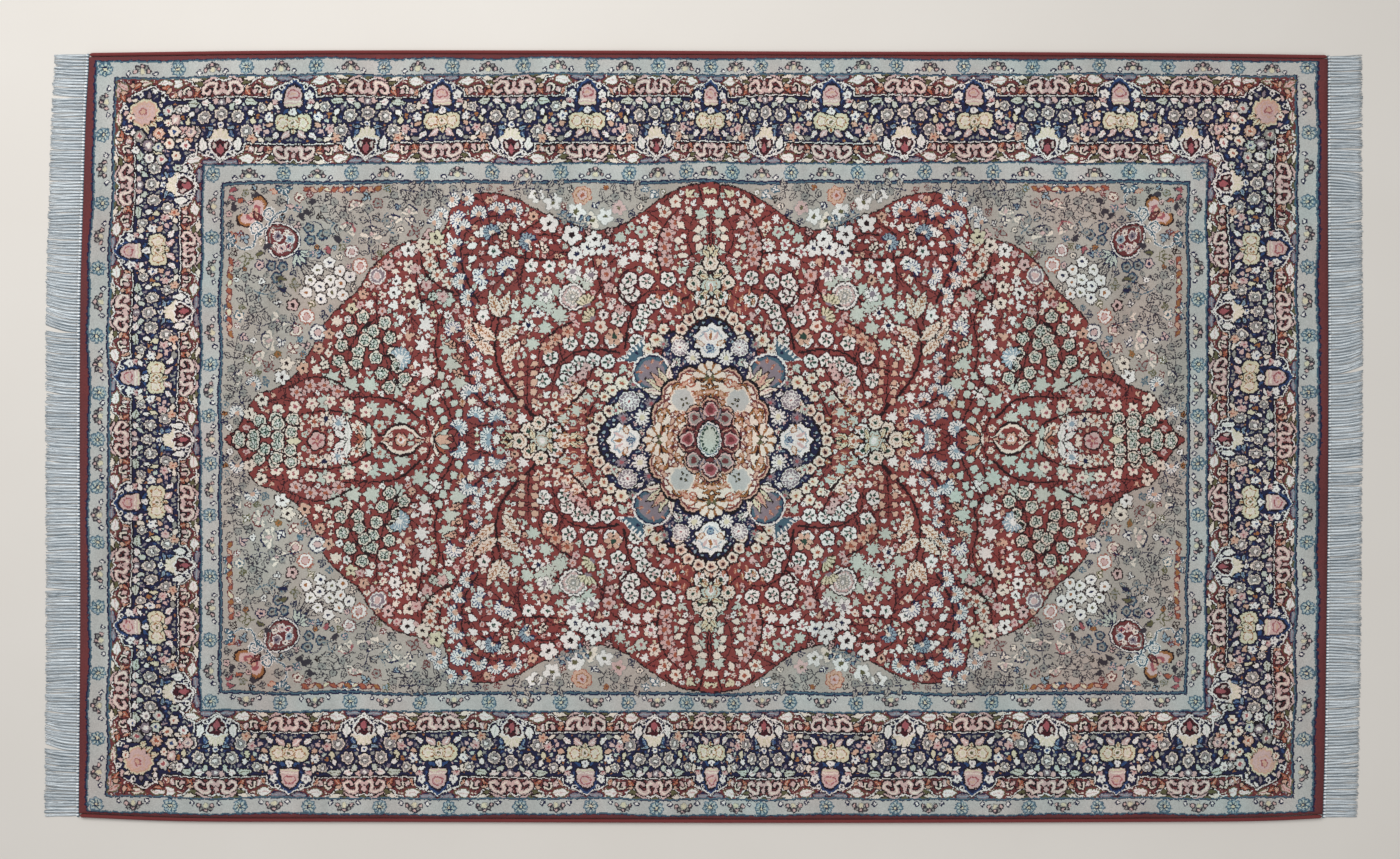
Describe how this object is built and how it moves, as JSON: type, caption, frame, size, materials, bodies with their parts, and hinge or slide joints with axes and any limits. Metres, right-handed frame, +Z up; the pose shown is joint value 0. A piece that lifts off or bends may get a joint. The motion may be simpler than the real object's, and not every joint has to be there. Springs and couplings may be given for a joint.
{
  "type": "persian rug",
  "caption": "Flat rectangular knotted wool rug with a wrapped cord along each long side and a knotted warp fringe at each short end.",
  "frame": {"origin": "middle of the rug's whole outline, fringes included, on the floor that it lies on", "axes": "+X along the length towards the east fringe, +Y across the width, +Z up out of the pile"},
  "size_m": [2.598, 1.5176, 0.009],
  "materials": {
    "pile_wool": "knotted wool pile in brick red, navy, ivory, peach and grey green",
    "binding_wool": "dark red wool wrapped round the side cord",
    "warp_cotton": "undyed cotton warp, matt"
  },
  "bodies": {
    "root": {"knotted_pile": "pile_wool", "side_cord_north": "binding_wool", "side_cord_south": "binding_wool", "fringe_west": "warp_cotton", "fringe_east": "warp_cotton"}
  },
  "joints": []
}
